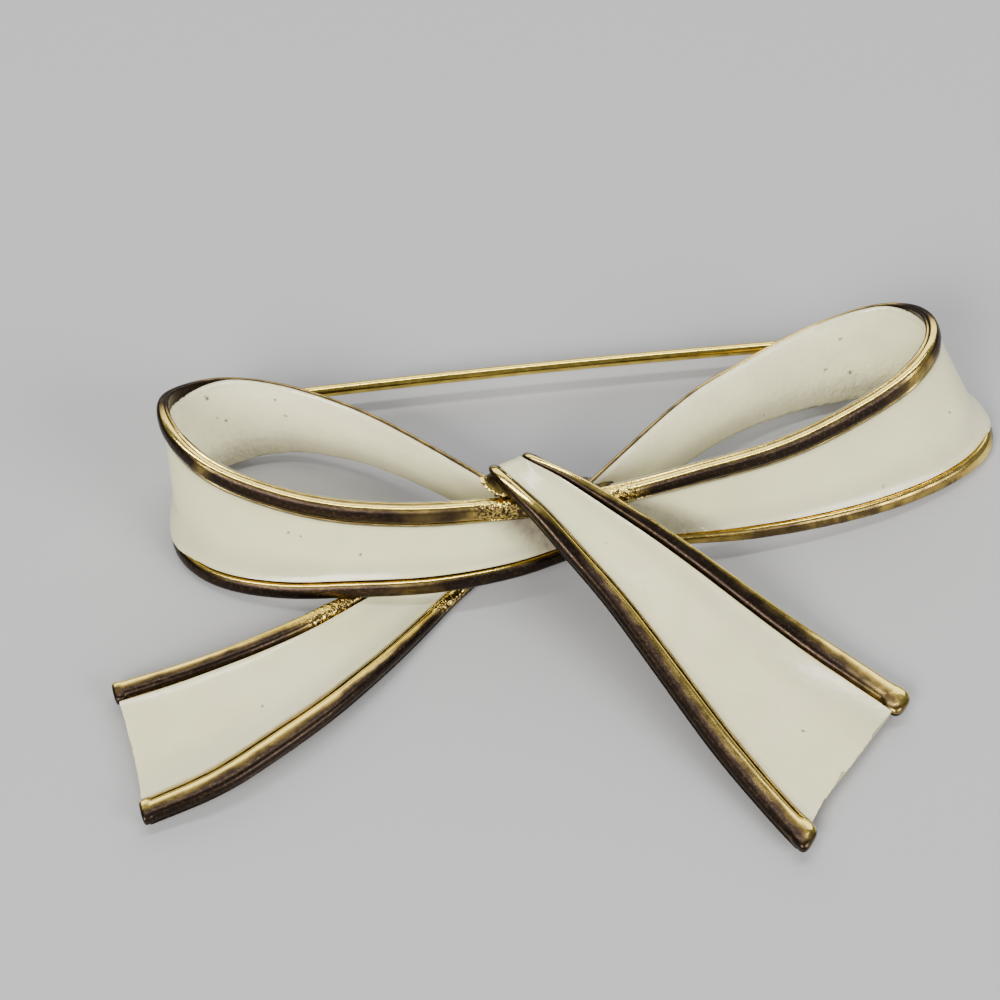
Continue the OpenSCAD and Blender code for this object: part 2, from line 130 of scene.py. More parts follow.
LEFT_TAIL = [
    [-0.097, 0.171, 0.75, 0.70, -0.018, 0.086, 0.75, 0.65],
    [-0.258, 0.096, 0.50, 0.75, -0.133, 0.016, 0.50, 0.65],
    [-0.382, -0.021, 0.37, 0.80, -0.248, -0.139, 0.39, 0.70],
    [-0.473, -0.108, 0.43, 0.90, -0.333, -0.289, 0.48, 0.80],
    [-0.576, -0.223, 0.76, 1.05, -0.430, -0.463, 0.78, 0.95],
    [-0.685, -0.317, 1.00, 1.05, -0.552, -0.648, 1.00, 1.15],
    [-0.794, -0.379, 0.97, 1.05, -0.679, -0.797, 1.00, 1.30],
    [-0.897, -0.417, 0.78, 1.12, -0.806, -0.920, 0.83, 1.30],
    [-1.000, -0.440, 0.50, 1.15, -0.957, -1.000, 0.53, 1.20],
]
FIRST_RIM = slice(0, 3)
FIRST_HALF = 3
SECOND_RIM = slice(4, 7)
SECOND_HALF = 7

# Rows between which the lining runs in the frame, which tells where the knot lies in it
CAD_LINING = (1.5, 12.5)
# Rows between which each coat runs here: it goes on to where the knot and the solder hide its end
LEFT_FACE = (0.0, 8.0)
RIGHT_FACE = (0.45, 8.5)
LEFT_LINING = (0.9, 12.68)
RIGHT_LINING = (0.9, 12.85)
# First row of a tail's coat, then its broken end: row, hollow at the middle, jaggedness, and steps across
LEFT_TAIL_FACE = (1.6, (8.03, 0.03, 0.02, []))
KNOT_FACE = (0.9, (9.97, 0.10, 0.04, [(0.20, 0.03), (0.44, 0.09), (0.78, -0.03)]))
# Rows of the seats that the hinge and the catch are soldered on, and what each seat covers of its wall
HINGE_ROW = 8.85
CATCH_ROW = 9.6
SEAT_REACH = 0.3
SEAT_BAND = (0.6, 0.95)
# Columns of solder under the knot: row of the left loop, row of the right loop, top as a share of LOOP_H
CORE = [(0.4, 0.2, 0.66), (12.75, 12.75, 0.5)]
CORE_KNOT_ROW = 0.3
CORE_R = RIM_R * 0.88
# Sheet of solder left of the knot: rows of the knot's ribbon, and how far it reaches in millimetres
SHEET_ROWS = (1.75, 3.0)
SHEET_SHIFT = (-0.95, 0.1, -0.55)

# Rows over which the loops' plate and rims turn thin and dark behind
BACK_ROWS = {"left_loop": (6.5, 8.5), "right_loop": (6.5, 8.5)}
# Direction that the bright side of a tail's metal looks in, where its painted highlight goes and away from
# which its painted shade grows, and the rows over which that direction takes over from straight up
PAINTED_LIGHT_SIDE = {"knot_tail": ((0.52, 0.34, 0.78), (3.0, 5.0)), "left_tail": ((-0.24, 0.54, 0.81), (-1.0, 0.0))}
# Brighter and duller stretches of metal, partly the metal's own patches and partly painted highlights and
# painted shade: ribbon, rim, row, reach in rows, how much brighter
BRIGHTER_PATCHES_AND_PAINTED_LIGHT = [
    ("left_loop", 0, 1.3, 1.5, 0.40),
    ("left_loop", 0, 5.1, 0.4, 0.35),
    ("left_loop", 1, 2.2, 0.5, 0.25),
    ("right_loop", 0, 5.4, 0.9, 0.60),
    ("right_loop", 1, 5.8, 1.1, 0.75),
    ("right_loop", 1, 4.0, 3.4, 0.45),
    ("right_loop", 0, 10.4, 1.9, 0.75),
    ("right_loop", 1, 1.5, 0.9, 0.50),
    ("right_loop", 0, 0.9, 0.7, 0.45),
    ("left_tail", 0, 3.5, 1.2, 0.50),
    ("left_tail", 1, 2.0, 0.8, 0.40),
    ("knot_tail", 1, 10.2, 1.6, 0.42),
    ("knot_tail", 0, 10.2, 1.2, 0.22),
    ("left_loop", 0, 7.3, 1.5, -0.90),
    ("right_loop", 0, 7.3, 1.1, -0.90),
]
# Grainy solder on a rim: ribbon, rim, row, reach in rows, how grainy
SOLDERED = [
    ("left_loop", 0, 0.95, 0.45, 1.0),
    ("right_loop", 0, 0.85, 0.45, 1.0),
    ("left_tail", 0, 3.5, 0.8, 0.8),
    ("left_tail", 1, 2.05, 0.5, 0.9),
]
# Ends of the tails' rims: ribbon, rim, reach in millimetres, how square, depth of the dent
TIPS = [
    ("knot_tail", 0, 0.85, 2.9, 0.0),
    ("knot_tail", 1, 0.90, 2.8, 0.0),
    ("left_tail", 0, 0.42, 4.0, 0.0),
    ("left_tail", 1, 0.45, 4.0, 0.14),
]
# Where the outer enamel has run over the lower rim: rows where it starts and is full, rows where it ebbs and
# stops, and its amount
SPILL = {
    "left_loop": ((5.3, 6.4), (7.2, 7.9), 0.5),
    "right_loop": ((5.9, 6.7), (7.6, 8.2), 0.65),
}
# Where the lining stops short of the upper edge: row, reach in rows, gap in millimetres
LINING_SHORT = {"left_loop": (7.3, 1.9, 1.0), "right_loop": (7.2, 1.5, 0.55)}
# Dirt and painted shadow on the outer enamel beside the knot: rows that its end slants across the ribbon,
# rows over which it fades, and its strength
KNOT_DIRT_AND_SHADOW = {"left_loop": (0.55, (0.72, 1.42), 0.95), "right_loop": (-0.45, (0.98, 1.55), 0.60)}
# Pits and specks in the enamel: piece, row, share across, radius and depth in millimetres
MARKS = [
    ("left_loop_inside", 8.47, 0.14, 0.16, 0.05),
    ("left_loop_inside", 8.42, 0.11, 0.10, 0.03),
    ("left_loop_inside", 9.80, 0.18, 0.12, 0.04),
    ("left_loop_inside", 8.84, 0.46, 0.14, 0.05),
    ("left_loop_inside", 9.94, 0.42, 0.11, 0.04),
    ("left_loop_inside", 8.65, 0.39, 0.09, 0.03),
    ("left_loop_face", 3.81, 0.35, 0.11, 0.04),
    ("left_loop_face", 3.63, 0.37, 0.10, 0.04),
    ("left_loop_face", 2.81, 0.55, 0.11, 0.04),
    ("right_loop_inside", 9.77, 0.57, 0.13, 0.05),
    ("right_loop_inside", 9.44, 0.68, 0.18, 0.06),
    ("right_loop_inside", 9.46, 0.23, 0.13, 0.05),
    ("right_loop_face", 5.56, 0.51, 0.11, 0.04),
    ("knot_tail_face", 8.78, 0.48, 0.12, 0.04),
    ("left_tail_face", 5.75, 0.62, 0.10, 0.03),
]

CAMERA_AZIMUTH = math.radians(-7.8)
CAMERA_ELEVATION = math.radians(50)
CAMERA_DISTANCE = 213.67
CAMERA_AIM = np.array([-3.2, 7.0, 0.0])
FLOOR = 1.2

UP = np.array([0.0, 0.0, 1.0])
# How square a rim's crown is: 2 is a half circle
CROWN_POWER = 3.2
# Rings for each row of metal and of enamel, and more rings for each row that a grainy stretch reaches
FINE = 24
COAT_FINE = 32
SOLDER_FINE = 220
# Samples of a curve for each row, and the rows that they are blurred over
SAMPLES = 64
SOFTNESS = 0.2


def unit(v):
    return v / np.linalg.norm(v, axis=-1, keepdims=True)


def smooth_step(x, low, high):
    t = np.clip((np.asarray(x, float) - low) / (high - low), 0, 1)
    return t * t * (3 - 2 * t)


def catmull_rom(rows, s):
    """Smooth curve through the rows at the places s, both rims at once."""
    padded = np.vstack([2 * rows[0] - rows[1], rows, 2 * rows[-1] - rows[-2]])
    i = np.clip(np.floor(s).astype(int), 0, len(rows) - 2)
    t = (s - i)[:, None]
    a, b, c, d = (padded[i + k] for k in range(4))
    return (2 * b + (c - a) * t + (2 * a - 5 * b + 4 * c - d) * t**2 + (3 * b - a - 3 * c + d) * t**3) / 2


class Ribbon:
    """One ribbon of the bow. Places along it are rows of its table, and lengths are millimetres."""

    def __init__(self, table, sizes, side, softness=SOFTNESS):
        rows = np.array(table) * np.array((*sizes, RIM_R) * 2)
        self.side = side
        self.end = len(rows) - 1
        self.s = np.linspace(0, self.end, self.end * SAMPLES + 1)
        self.rims = catmull_rom(rows, self.s)
        if softness:
            self.rims = self.softened(softness * SAMPLES)

    def softened(self, sigma):
        """The samples blurred along the ribbon, so that polished rims reflect without kinks."""
        reach = int(3 * sigma)
        kernel = np.exp(-0.5 * (np.arange(-reach, reach + 1) / sigma) ** 2)
        kernel /= kernel.sum()
        head = 2 * self.rims[0] - self.rims[reach:0:-1]
        tail = 2 * self.rims[-1] - self.rims[-2 : -reach - 2 : -1]
        padded = np.vstack([head, self.rims, tail])
        return np.stack([np.convolve(column, kernel, "valid") for column in padded.T], 1)

    def at(self, s):
        """Both rims at the places s, carried on in a straight line past the ends."""
        s = np.asarray(s, float)
        inside = np.clip(s, 0, self.end)
        base = np.stack([np.interp(inside, self.s, column) for column in self.rims.T], -1)
        first_step = (self.rims[1] - self.rims[0]) * SAMPLES
        last_step = (self.rims[-1] - self.rims[-2]) * SAMPLES
        before = np.minimum(s, 0)[..., None] * first_step
        after = np.maximum(s - self.end, 0)[..., None] * last_step
        return base + before + after

    def middle(self, s):
        rims = self.at(s)
        return (rims[..., FIRST_RIM] + rims[..., SECOND_RIM]) / 2

    def frame(self, s):
        """First rim, direction across and outward direction at the places s."""
        rims = self.at(s)
        along = self.middle(np.asarray(s) + 0.02) - self.middle(np.asarray(s) - 0.02)
        across = unit(rims[..., SECOND_RIM] - rims[..., FIRST_RIM])
        return rims[..., FIRST_RIM], across, self.side * unit(np.cross(along, across))

    def width(self, s):
        """Distance between the middles of both rims."""
        rims = self.at(s)
        return np.linalg.norm(rims[..., SECOND_RIM] - rims[..., FIRST_RIM], axis=-1)

    def halves(self, s):
        """Half widths of both rims."""
        rims = self.at(s)
        return rims[..., FIRST_HALF], rims[..., SECOND_HALF]

    def place(self, s, u, n):
        """Points at places s, u millimetres across from the first rim and n outwards."""
        first, across, out = self.frame(s)
        return first + across * np.asarray(u)[..., None] + out * np.asarray(n)[..., None]


def make_ribbons(softness):
    return {
        "left_loop": Ribbon(LEFT_LOOP, (LEFT_LOOP_L, LOOP_D, LOOP_H), 1, softness),
        "right_loop": Ribbon(RIGHT_LOOP, (RIGHT_LOOP_L, LOOP_D, LOOP_H), -1, softness),
        "knot_tail": Ribbon(KNOT_TAIL, (RIGHT_TAIL_L, RIGHT_TAIL_DROP, KNOT_H), 1, softness),
        "left_tail": Ribbon(LEFT_TAIL, (LEFT_TAIL_L, LEFT_TAIL_DROP, LEFT_TAIL_H), 1, softness),
    }


def lowered(height, half):
    """A height on a rim, less where the rim is narrow."""
    return height * np.minimum(half / RIM_R, 1)


def lining_from(half):
    return lowered(LINING_EDGE, half) - half


def frame_origin():
    """The frame's origin seen from the knot: the lining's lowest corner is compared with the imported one's."""
    plain = make_ribbons(0)["right_loop"]
    s = np.arange(CAD_LINING[0], CAD_LINING[1] + 0.01, 0.25)
    width = plain.width(s)
    first, second = plain.halves(s)
    over = np.full_like(s, -PLATE_T - PIECE_GAP)
    under = over - LINING_T
    chamfer = LINING_T / 2
    corners = [
        plain.place(s, lining_from(first) + chamfer, under),
        plain.place(s, width - lining_from(second) - chamfer, under),
        plain.place(s, lining_from(first), over),
        plain.place(s, width - lining_from(second), over),
    ]
    return np.vstack(corners).min(0) - np.array(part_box("right_loop_lining")[0]) / MM


RIBBONS = make_ribbons(SOFTNESS)
ORIGIN = frame_origin()


def grain(points, scale, seed=0.0):
    """Smooth noise from -1 to 1 at points in millimetres; scale is the size of a lump."""
    flat = np.asarray(points, float).reshape(-1, 3) / scale + seed
    values = np.array([noise.noise(Vector(p)) for p in flat])
    return values.reshape(np.shape(points)[:-1])


def wander(x, scale, seed):
    """Smooth noise along one axis, from -1 to 1."""
    x = np.asarray(x, float)
    return grain(np.stack([x, np.full_like(x, seed), np.full_like(x, 0.5)], -1), scale)


def hump(x, middle, reach):
    """1 at the middle, falling to 0 at the reach on both sides."""
    return 1 - smooth_step(np.abs(np.asarray(x, float) - middle), 0, reach)


def rim_profile():
    """Half of the metal's section: plate edge, a fine groove, the rim's crown, a groove and a fine bead.
    Across is in half widths of the rim, height in plate thicknesses below 0 and in rim heights above."""
    plate_edge = [
        (-0.55, -1.0), (-0.74, -1.0), (-0.86, -0.94), (-0.94, -0.78), (-0.97, -0.55), (-0.955, -0.34),
        (-0.90, -0.20), (-0.885, -0.08), (-0.93, 0.04),
    ]
    crown = []
    for angle in np.linspace(168, 0, 26):
        u = math.cos(math.radians(angle))
        n = math.sin(math.radians(angle))
        square = (abs(u) ** CROWN_POWER + abs(n) ** CROWN_POWER) ** (-1 / CROWN_POWER)
        crown.append((-0.14 + 0.82 * u * square, (0.94 + 0.06 * math.cos(u * 1.6)) * n * square))
    crown = [p for p in crown if p[1] > 0.36 or p[0] < 0]
    bead = [
        (0.70, 0.30), (0.735, 0.30), (0.765, 0.40), (0.81, 0.47), (0.865, 0.48), (0.91, 0.43), (0.94, 0.32),
    ]
    return np.array(plate_edge + crown + bead + [(FOOT_SHARE, 0.0)])


PROFILE = rim_profile()
WEB_PLACE = (1.3, 0.0)


def half_section(half, plate):
    """The profile at each half width: (..., points, 2)."""
    half = np.asarray(half)[..., None]
    plate = np.asarray(plate)[..., None]
    height = np.where(PROFILE[:, 1] < 0, PROFILE[:, 1] * plate, PROFILE[:, 1] * lowered(RIM_H, half))
    return np.stack([PROFILE[:, 0] * half, height], -1)


def metal_section(width, first, second, plate, web):
    """Closed section of a ribbon at each station, with web points between: (stations, points, 2)."""
    left = half_section(first, plate)
    right = half_section(second, plate)[:, ::-1].copy()
    right[..., 0] = width[:, None] - right[..., 0]
    between = np.linspace(0, 1, web + 2)[1:-1, None]
    top = left[:, None, -1] * (1 - between) + right[:, None, 0] * between
    bottom = right[:, None, -1] * (1 - between) + left[:, None, 0] * between
    return np.concatenate([left, top, right, bottom], 1)


def section_places(web):
    """For each point of that section: its rim, and its place across and out in the profile."""
    rim = np.repeat([0, 1], len(PROFILE) + web)
    between = np.tile(WEB_PLACE, (web, 1))
    places = np.concatenate([PROFILE, between, PROFILE[::-1], between - (0, 1)])
    return rim, places[:, 0], places[:, 1]


def plate_thickness(name, s):
    """The plate is hammered thinner along the back walls of the loops."""
    if name not in BACK_ROWS:
        return np.full_like(s, PLATE_T)
    return PLATE_T * (1 - 0.5 * smooth_step(s, *BACK_ROWS[name]))


def picked(rows, name, s, rim):
    """How near the places are to the rows listed for a ribbon and a rim, with each row's last value."""
    for row_name, row_rim, row, reach, value in rows:
        if row_name == name:
            yield hump(s, row, reach) * (rim == row_rim), value


def dullness_and_painted_light(name, s, rim, u, n):
    """How dark the metal is at the rows s for the points of its section: its dullness and tarnish, with painted
    shade in the grooves and a painted highlight on the bead.
    """
    # Duller underside of the plate; the bead is made brighter, a painted highlight
    dull_and_painted_light = np.where(n < -0.5, 0.3, 0.0) - 0.4 * hump(u, 0.84, 0.10) * (n > 0.2) + 0 * s
    # The grooves and the rims' foot are made darker: painted shade in the creases
    groove_painted_shade = hump(u, 0.715, 0.05) + hump(u, FOOT_SHARE, 0.06) + hump(u, -0.885, 0.03) * (n > -0.3)
    dull_and_painted_light = dull_and_painted_light + 0.8 * groove_painted_shade
    if name in BACK_ROWS:
        dull_and_painted_light = dull_and_painted_light + 0.45 * smooth_step(s, *BACK_ROWS[name])
    dull_and_painted_light = dull_and_painted_light - 0.70 * (u == WEB_PLACE[0])
    # Listed stretches: partly the metal's own brighter and duller patches, partly painted highlights and
    # painted shade
    for near, value in picked(BRIGHTER_PATCHES_AND_PAINTED_LIGHT, name, s, rim):
        dull_and_painted_light = dull_and_painted_light - value * near
    return dull_and_painted_light


def gritty(name, s, rim, n):
    grit = 0 * s * n
    for near, value in picked(SOLDERED, name, s, rim):
        grit = np.maximum(grit, value * near**0.5 * (n > -0.3))
    return grit


def stations(name, end):
    """Rows of the rings of a ribbon, closer together where solder makes it lumpy."""
    s = [np.linspace(0, end, int(end * FINE) + 1)]
    for soldered_name, _, row, reach, _ in SOLDERED:
        if soldered_name == name:
            s.append(np.linspace(row - reach, row + reach, int(reach * SOLDER_FINE)))
    return np.unique(np.clip(np.concatenate(s), 0, end).round(4))


def painted_light_side(name, s):
    """Direction that the bright side of the metal looks in: painted highlight towards it, painted shade away
    from it.
    """
    if name not in PAINTED_LIGHT_SIDE:
        return UP + np.zeros((*np.shape(s), 3))
    side, (start, stop) = PAINTED_LIGHT_SIDE[name]
    return unit(UP + (np.array(side) - UP) * smooth_step(s, start, stop)[..., None])


def metal_ribbon(name, web=0, hollow=0.0):
    """Thin plate with a rim along each edge, swept along a ribbon. The hollow is how far the plate stops
    short of the rims' ends at its middle, in rows."""
    ribbon = RIBBONS[name]
    s = stations(name, ribbon.end)
    width = ribbon.width(s)
    first, second = ribbon.halves(s)
    section = metal_section(width, first, second, plate_thickness(name, s), web)
    rim, u, n = section_places(web)
    places = np.repeat(s[:, None], len(u), 1)
    share = section[..., 0] / width[:, None]
    if hollow:
        short = 0.35 + 0.65 * (1 - (2 * share - 1) ** 2)
        late = smooth_step(places, ribbon.end - 1, ribbon.end)
        places = places - hollow * short * (u == WEB_PLACE[0]) * late
    points = ribbon.place(places, section[..., 0], section[..., 1])
    _, across, out = ribbon.frame(places)
    middle = np.where(rim, width[:, None], 0)
    away = unit(np.stack([section[..., 0] - middle, section[..., 1] - 0.12], -1) + 1e-9)
    away = across * away[..., :1] + out * away[..., 1:]
    grit = gritty(name, places, rim, n)
    lumps = 0.07 * np.abs(grain(points, 0.45, 5.0)) + 0.05 * np.abs(grain(points, 0.18, 9.0))
    dents = 0.012 * grain(points, 1.5, 3.0) * (n > 0)
    points = points + away * (dents + grit * (lumps - 0.01))[..., None]
    # This darkness layer holds tarnish together with painted highlight and painted shade
    layers = {"tarnish_and_painted_light": dullness_and_painted_light(name, places, rim, u, n), "grit": grit}
    return new_piece(f"{name}_metal", points, ring_faces(len(s), len(u)), layers=layers,
                     painted_light_dir=painted_light_side(name, places))


def rim_tip(name, rim, reach, power, dent):
    """Blunt rounded end of a rim, standing out past the ribbon's cut end."""
    ribbon = RIBBONS[name]
    column = FIRST_RIM if rim == 0 else SECOND_RIM
    before, end = ribbon.at(np.array([ribbon.end - 0.08, ribbon.end]))[:, column]
    _, across, out = (v[0] for v in ribbon.frame(np.array([ribbon.end])))
    half = float(ribbon.halves(ribbon.end)[rim])
    along = unit(end - before)
    away = across if rim == 0 else -across
    closing = np.array([(0.93, -0.8), (0.7, -1.0), (0.4, -1.0), (0.1, -1.0), (-0.2, -1.0)])
    sharp = np.vstack([half_section(half, PLATE_T), closing * (half, PLATE_T)])
    centre = np.array([-0.02 * half, (RIM_H - PLATE_T) / 2])
    ray = unit((sharp - centre) / (half, (RIM_H + PLATE_T) / 2))
    size = (np.abs(ray) ** 3).sum(-1, keepdims=True) ** (-1 / 3)
    blunt = centre + ray * size * (half * 0.97, (RIM_H + PLATE_T) / 2)
    rings = []
    for t in np.concatenate([np.linspace(-1.4, -0.1, 8), 1 - np.linspace(1, 0, 26) ** 1.7]):
        k = smooth_step(t, -1.3, -0.2)
        swell = 0.97 + 0.05 * k if t < 0 else 1.02 * max(1 - t**power, 0.0) ** (1 / power) + 0.002
        flat = centre + (sharp * (1 - k) + blunt * k - centre) * swell
        sunk = dent * smooth_step(swell, 0.75, 0.35)
        rings.append(end + along * (t * reach - sunk) + away * flat[:, :1] + out * flat[:, 1:])
    points = np.array(rings)
    points = points + unit(points - points.mean((0, 1))) * (0.03 * grain(points, 0.8, 7.0))[..., None]
    # The tip takes on the rim's darkness, painted highlight and painted shade included; towards the point the
    # painted shade fades to light tarnish
    tip_finish_and_painted_light = dullness_and_painted_light(name, ribbon.end, np.full(len(PROFILE), rim), PROFILE[:, 0], PROFILE[:, 1])
    around = np.concatenate([tip_finish_and_painted_light, np.full(len(closing), 0.3)])
    fade = np.linspace(1, 0, len(rings))[:, None] ** 2
    layers = {"tarnish_and_painted_light": around * fade + np.minimum(around, 0.1) * (1 - fade)}
    return new_piece(f"{name}_tip_{rim}", points, ring_faces(len(rings), len(sharp)),
                     layers=layers, painted_light_dir=painted_light_side(name, np.full(points.shape[:2], ribbon.end)))


def coat(name, label, s_range, edges, over, under, stain_and_shade, across_points=64):
    """A coat of enamel on a ribbon. s_range gives the first and last row for each share across, edges the
    places of both sides in millimetres, over and under the heights of both faces, and the last function the
    stain, partly painted shade, and the pebbling."""
    ribbon = RIBBONS[name]
    even = np.linspace(0, 1, across_points)
    share = 0.6 * (1 - np.cos(even * math.pi)) / 2 + 0.4 * even
    first, last = s_range(share)
    rings = int((np.max(last) - np.min(first)) * COAT_FINE) + 1
    s = first + (last - first) * np.linspace(0, 1, rings)[:, None]
    shares = share + 0 * s
    low, high = edges(ribbon, s)
    u = low + (high - low) * shares
    top = over(ribbon, s, shares)
    pits = np.zeros_like(s)
    for _, row, across, radius, depth in (m for m in MARKS if m[0] == label):
        centre = ribbon.place(np.array([row]), across * ribbon.width(np.array([row])), np.array([0.0]))
        away = np.linalg.norm(ribbon.place(s, u, 0 * s) - centre, axis=-1)
        spot = np.exp(-((away / radius) ** 4))
        pits = np.maximum(pits, spot)
        top = top - depth * spot * np.sign(top.mean())
    stains_and_shade, pebbles = stain_and_shade(ribbon, s, shares)
    upper = ribbon.place(s, u, top)
    top = top - 0.03 * pebbles * grain(upper, 0.55, 2.0)
    upper = ribbon.place(s, u, top)
    lower = ribbon.place(s, u, under(ribbon, s, shares))
    points = np.concatenate([upper, lower[:, ::-1]], 1)
    both = {"across": shares, "pit": pits, "stain_and_shade": stains_and_shade, "pebble": pebbles}
    layers = {key: np.concatenate([value, value[:, ::-1]], 1) for key, value in both.items()}
    faces = ring_faces(rings, 2 * across_points)
    return new_piece(label, points, faces, smooth_angle=50, layers=layers)


def face_edges(ribbon, s):
    """Sides of the outer enamel: close against the feet of both rims."""
    first, second = ribbon.halves(s)
    return first * FOOT_SHARE + PIECE_GAP * 0.5, ribbon.width(s) - second * FOOT_SHARE - PIECE_GAP * 0.5


def spilt(name):
    """How far the enamel has run over the lower rim at the loop's turn, from 0 to 1."""
    (start, full), (ebb, stop), amount = SPILL[name]

    def lap(s):
        chips = 0.12 * wander(s * 9, 1.1, 4.0)
        shape = smooth_step(s + chips, start, full) * (1 - smooth_step(s + chips, ebb, stop))
        return amount * shape
    return lap


def spilt_edges(name):
    lap = spilt(name)

    def edges(ribbon, s):
        low, high = face_edges(ribbon, s)
        return low, high + 1.2 * ribbon.halves(s)[1] * lap(s)
    return edges


def dished(ribbon, s, share):
    """Height of the outer enamel: sunk in the middle and climbing to a lip at each rim."""
    first, second = ribbon.halves(s)
    middle = PIECE_GAP + ENAMEL_T
    rise_first = np.clip(1 - 2 * share, 0, 1) ** 6 * (lowered(LIP_H, first) - middle)
    rise_second = np.clip(2 * share - 1, 0, 1) ** 4 * (lowered(LIP_H, second) + 0.10 - middle)
    return middle + rise_first + rise_second


def spilt_over(name):
    """Outer enamel whose lower lip runs out over the rim."""
    lap = spilt(name)

    def over(ribbon, s, share):
        rise = 0.62 * smooth_step(share, 0.70, 0.93) - 0.15 * share**40
        return dished(ribbon, s, share) + lap(s) * rise
    return over


def spilt_under(name):
    lap = spilt(name)

    def under(ribbon, s, share):
        return PIECE_GAP + lap(s) * 0.62 * smooth_step(share, 0.80, 0.93)
    return under


def lining_edges(name):
    """Sides of the lining: out to the plate's edges, uneven, and further in at the loop's turn."""
    def edges(ribbon, s):
        first, second = ribbon.halves(s)
        row, reach, gap = LINING_SHORT[name]
        length = s * 5
        chips = 0.10 * wander(length, 0.5, 2.0) + 0.10 * wander(length, 0.17, 6.0)
        short = hump(s, row, reach)
        upper = -first * 0.93 + (gap + chips) * short + 0.02 * wander(length, 0.9, 3.0)
        waves = 0.07 * wander(length, 1.3, 8.0) + 0.05 * wander(length, 0.4, 5.0)
        return upper, ribbon.width(s) + second * 0.86 + waves
    return edges


def lining_under(name):
    def under(ribbon, s, share):
        return -plate_thickness(name, s) - PIECE_GAP
    return under


def lining_over(name):
    """The lining's face, thinning out to a feather edge."""
    def over(ribbon, s, share):
        away = np.minimum(share, 1 - share) * ribbon.width(s)
        full = 0.12 + 0.88 * (1 - (1 - np.clip(away / 0.45, 0, 1)) ** 3)
        return -plate_thickness(name, s) - PIECE_GAP - LINING_T * full
    return over


def low_face(ribbon, s, share):
    return np.full_like(s, PIECE_GAP)


def straight(span):
    """Ends of a coat that stop square across the ribbon."""
    def ends(share):
        return np.full_like(share, span[0]), np.full_like(share, span[1])
    return ends


def broken(start, end):
    """Ends of a coat whose last edge is broken off. The end gives the row, how hollow the edge is at its
    middle, how jagged it is, and steps at shares across, all in rows."""
    row, hollow, jag, steps = end

    def ends(share):
        chips = jag * (0.7 * wander(share * 9, 1.3, 1.7) + 0.6 * wander(share * 55, 1.1, 4.7))
        sag = hollow * (1 - (2 * share - 1) ** 2)
        stop = row - sag + chips
        for at, size in steps:
            stop = stop + size * smooth_step(share, at - 0.01, at + 0.01)
        return np.full_like(share, start), stop
    return ends


def loop_face_dirt_and_shadow(name):
    """Dirt, solder colour and painted shadow on a loop's outer enamel beside the knot."""
    slant, reach, strength = KNOT_DIRT_AND_SHADOW[name]

    def stain_and_shade(ribbon, s, share):
        near = 1 - smooth_step(s + slant * share, *reach)
        return strength * near, 0.04 + 0.4 * near
    return stain_and_shade


def tail_stain(ribbon, s, share):
    return 0 * s, 0.03 + 0 * s


def lining_stain_and_shade(name):
    """The lining is stained and darkened towards its lower edge, most at the turn, and a little beside the
    knot, a stain with painted shade; it is pebbled more towards its lower edge at the turn.
    """
    row = LINING_SHORT[name][0]

    def stain_and_shade(ribbon, s, share):
        low = smooth_step(share, 0.62, 1.0)
        turn = hump(s, row + 1.2, 2.6)
        knot = smooth_step(s, 12.1, 12.75)
        return low * (0.34 + 0.30 * turn) + 0.04 * knot, 0.15 + 0.85 * smooth_step(share, 0.45, 0.9) * turn
    return stain_and_shade


def ring_faces(rings, points):
    """Quads between closed rings of points, with a cap over both ends."""
    k = np.arange(rings - 1)[:, None]
    i = np.arange(points)[None, :]
    a = k * points + i
    b = k * points + (i + 1) % points
    quads = np.stack([a, b, b + points, a + points], -1).reshape(-1, 4).tolist()
    quads.append(list(range(points))[::-1])
    quads.append([(rings - 1) * points + j for j in range(points)])
    return quads


def new_piece(name, points, faces, body=BROOCH, smooth_angle=50, layers=None, painted_light_dir=UP):
    """A mesh piece from points in the knot's frame in millimetres, riding on a body. A layer tells how squarely
    each point looks in the painted light's direction, which sets its painted highlight and painted shade."""
    mesh = bpy.data.meshes.new(name)
    moved = (np.asarray(points).reshape(-1, 3) - ORIGIN) * MM
    moved[:, 2] = moved[:, 2].clip(0)
    mesh.from_pydata(moved.tolist(), [], faces)
    tidy = bmesh.new()
    tidy.from_mesh(mesh)
    bmesh.ops.recalc_face_normals(tidy, faces=tidy.faces)
    tidy.to_mesh(mesh)
    tidy.free()
    normals = np.empty(len(mesh.vertices) * 3, np.float32)
    mesh.vertices.foreach_get("normal", normals)
    # How squarely each point faces the painted light's direction: this sets the gold's painted highlight and
    # painted shade
    facing = (normals.reshape(-1, 3) * np.reshape(painted_light_dir, (-1, 3))).sum(-1)
    values = {"faces_painted_light": facing, **(layers or {})}
    for layer, numbers in values.items():
        attribute = mesh.attributes.new(layer, "FLOAT", "POINT")
        attribute.data.foreach_set("value", np.asarray(numbers, np.float32).ravel())
    mesh.polygons.foreach_set("use_smooth", [True] * len(mesh.polygons))
    mesh.set_sharp_from_angle(angle=math.radians(smooth_angle))
    mesh.update()
    piece = bpy.data.objects.new(name, mesh)
    bpy.context.scene.collection.objects.link(piece)
    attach(piece, body)
    return piece


def seat_patch(name, row):
    """Grid of points on the outside of a back wall that a seat covers: (rows, across, 3)."""
    ribbon = PLAIN[name]
    s = np.linspace(row - SEAT_REACH, row + SEAT_REACH, 3)[:, None] + np.zeros((1, 3))
    share = np.linspace(*SEAT_BAND, 3) + 0 * s
    return ribbon.place(s, ribbon.width(s) * share, 0 * s)


